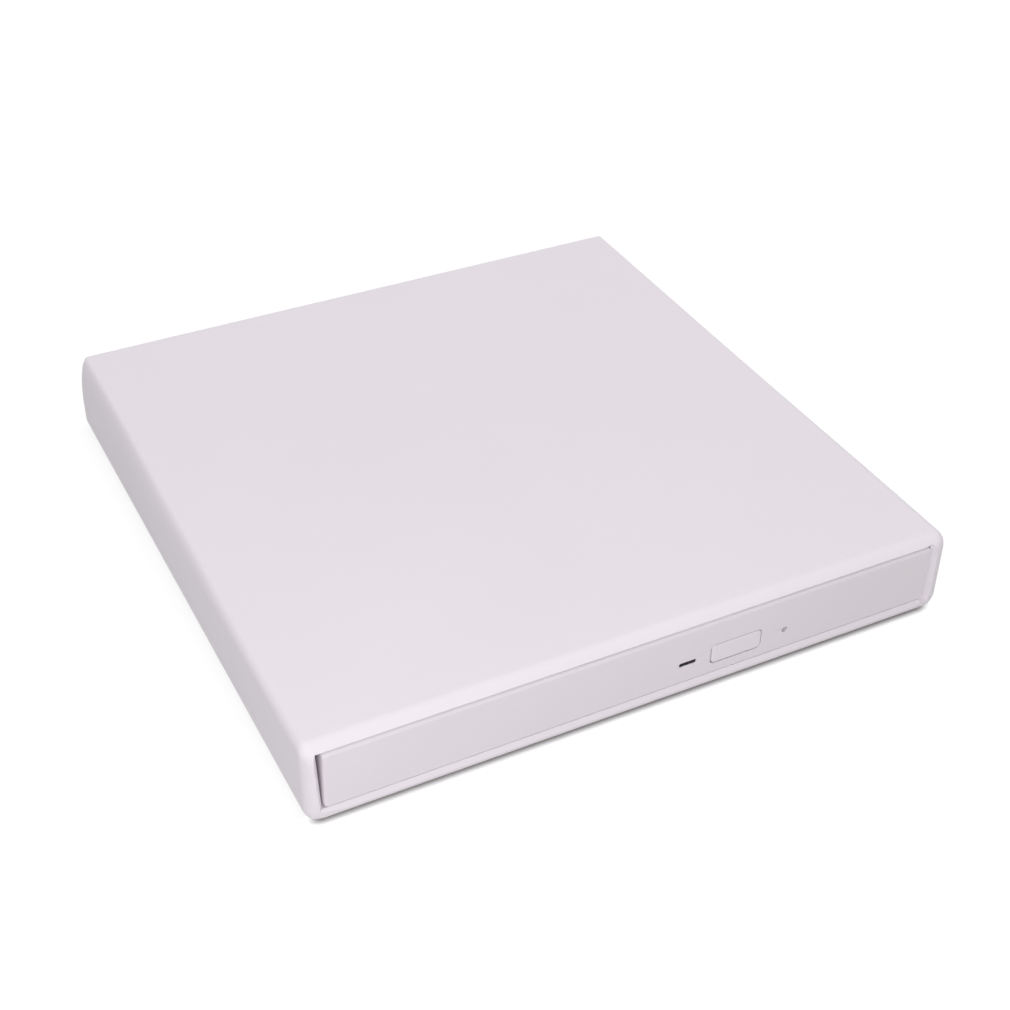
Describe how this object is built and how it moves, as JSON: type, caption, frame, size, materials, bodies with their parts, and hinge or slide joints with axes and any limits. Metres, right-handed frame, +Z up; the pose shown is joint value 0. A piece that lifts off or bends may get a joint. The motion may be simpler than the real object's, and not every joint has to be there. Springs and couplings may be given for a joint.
{
  "type": "external disc drive",
  "caption": "Flat white external disc drive with a sliding disc tray, eject button, lamp slot and emergency pin hole in its front bezel, and rear sockets.",
  "frame": {"origin": "middle of the footprint, on the surface that the rubber feet stand on", "axes": "+Z up, -Y out of the front with the tray, +X to the right seen from the front"},
  "size_m": [0.136, 0.141, 0.018],
  "materials": {
    "case_white": "moulded white plastic, satin gloss",
    "bezel_white": "moulded white plastic, smooth",
    "button_white": "moulded white plastic, smooth",
    "light_pipe_dark": "dark translucent plastic",
    "black_rubber": "moulded rubber, matt",
    "grey_rubber": "soft rubber, matt",
    "screw_steel": "nickel-plated steel",
    "sheet_steel": "zinc-coated pressed steel",
    "shaft_steel": "ground and polished steel",
    "board_green": "glass-fibre circuit board",
    "chip_black": "moulded chip packages",
    "capacitor_can": "aluminium can",
    "socket_steel": "plated socket shell",
    "black_plastic": "moulded black plastic",
    "ribbon": "flat flexible cable",
    "guide_plastic": "moulded acetal",
    "tray_grey": "moulded dark plastic, fine grain",
    "turntable_metal": "turned aluminium",
    "hub_plastic": "moulded acetal",
    "copper_coil": "wound stator with lacquered copper",
    "pickup_metal": "die-cast pickup body",
    "lens_glass": "coated glass"
  },
  "bodies": {
    "case": {"top_cover": "case_white", "bottom_plate": "case_white", "rubber_feet": "black_rubber", "case_screws": "screw_steel", "drive_screws": "screw_steel", "bridge_board": "board_green", "bridge_chips": "chip_black", "bridge_capacitors": "capacitor_can", "usb_socket_shell": "socket_steel", "usb_socket_tongue": "black_plastic", "power_jack": "black_plastic", "bridge_connector": "black_plastic", "drive_chassis": "sheet_steel", "drive_lid": "sheet_steel", "lid_screws": "screw_steel", "connector_board": "board_green", "drive_connector": "black_plastic", "flex_cable": "ribbon", "latch_post": "shaft_steel", "left_rail_guide": "guide_plastic", "right_rail_guide": "guide_plastic"},
    "left_rail": {"left_slide_rail": "sheet_steel"},
    "right_rail": {"right_slide_rail": "sheet_steel"},
    "tray": {"tray": "tray_grey", "front_bezel": "bezel_white", "light_pipe": "light_pipe_dark", "eject_switch": "black_plastic", "front_board": "board_green", "main_board": "board_green", "main_board_chips": "chip_black", "cable_socket": "guide_plastic", "tray_cover": "sheet_steel", "tray_screws": "screw_steel", "spindle_stator": "copper_coil", "traverse_frame": "sheet_steel", "guide_shafts": "shaft_steel", "sled_motor": "capacitor_can", "damper_bushes": "grey_rubber", "pickup_shield": "black_plastic", "latch_pin": "shaft_steel", "solenoid": "sheet_steel", "ejector_spring": "screw_steel"},
    "eject_button": {"eject_button": "button_white", "switch_plunger": "black_plastic"},
    "spindle": {"turntable": "turntable_metal", "turntable_pad": "grey_rubber", "disc_hub": "hub_plastic"},
    "claw_1": {"hub_claw_1": "guide_plastic"},
    "claw_2": {"hub_claw_2": "guide_plastic"},
    "claw_3": {"hub_claw_3": "guide_plastic"},
    "pickup_sled": {"pickup_body": "pickup_metal", "rack_arm": "guide_plastic"},
    "lens": {"lens_holder": "black_plastic", "objective_lens": "lens_glass"},
    "lead_screw": {"lead_screw": "shaft_steel"},
    "latch_lever": {"latch_lever": "guide_plastic"},
    "solenoid_plunger": {"solenoid_plunger": "shaft_steel"},
    "ejector": {"ejector_plunger": "black_plastic"}
  },
  "joints": [
    {"name": "tray_slide", "type": "slide", "parent": "case", "child": "tray", "axis": [0, -1, 0], "range_m": [0, 0.129], "deforming": ["flex_cable"]},
    {"name": "left_rail_slide", "type": "slide", "parent": "case", "child": "left_rail", "axis": [0, -1, 0], "range_m": [0, 0.0645]},
    {"name": "right_rail_slide", "type": "slide", "parent": "case", "child": "right_rail", "axis": [0, -1, 0], "range_m": [0, 0.0645]},
    {"name": "eject_button_press", "type": "slide", "parent": "tray", "child": "eject_button", "axis": [0, 1, 0], "range_m": [0, 0.0006], "stiffness_N_per_m": 800},
    {"name": "spindle_spin", "type": "hinge", "parent": "tray", "child": "spindle", "pos_m": [0.002, -0.002, 0.0123], "axis": [0, 0, 1], "continuous": true},
    {"name": "claw_1_slide", "type": "slide", "parent": "spindle", "child": "claw_1", "axis": [0, -1, 0], "range_m": [0, 0.0005], "stiffness_N_per_m": 500},
    {"name": "claw_2_slide", "type": "slide", "parent": "spindle", "child": "claw_2", "axis": [0.866, 0.5, 0], "range_m": [0, 0.0005], "stiffness_N_per_m": 500},
    {"name": "claw_3_slide", "type": "slide", "parent": "spindle", "child": "claw_3", "axis": [-0.866, 0.5, 0], "range_m": [0, 0.0005], "stiffness_N_per_m": 500},
    {"name": "sled_slide", "type": "slide", "parent": "tray", "child": "pickup_sled", "axis": [-0.7071, -0.7071, 0], "range_m": [0, 0.0345]},
    {"name": "lens_focus", "type": "slide", "parent": "pickup_sled", "child": "lens", "axis": [0, 0, 1], "range_m": [-0.0006, 0.0006], "stiffness_N_per_m": 200},
    {"name": "lead_screw_spin", "type": "hinge", "parent": "tray", "child": "lead_screw", "pos_m": [0.01402, -0.01402, 0.0082], "axis": [-0.7071, -0.7071, 0], "range_deg": [0, 4140.01]},
    {"name": "latch_swing", "type": "hinge", "parent": "tray", "child": "latch_lever", "pos_m": [0.038, -0.056, 0.008], "axis": [0, 0, 1], "range_deg": [0, 9.01]},
    {"name": "solenoid_slide", "type": "slide", "parent": "tray", "child": "solenoid_plunger", "axis": [-1, 0, 0], "range_m": [0, 0.0011], "stiffness_N_per_m": 60},
    {"name": "ejector_slide", "type": "slide", "parent": "tray", "child": "ejector", "axis": [0, 1, 0], "range_m": [0, 0.012], "deforming": ["ejector_spring"]}
  ],
  "couplings": [
    {"joint": "left_rail_slide", "follows": "tray_slide", "ratio": 0.5},
    {"joint": "right_rail_slide", "follows": "tray_slide", "ratio": 0.5},
    {"joint": "ejector_slide", "follows": "tray_slide", "ratio": 0.093023},
    {"joint": "lead_screw_spin", "follows": "sled_slide", "rad_per_m": 2094.4},
    {"joint": "latch_swing", "follows": "solenoid_slide", "rad_per_m": 142.86}
  ]
}
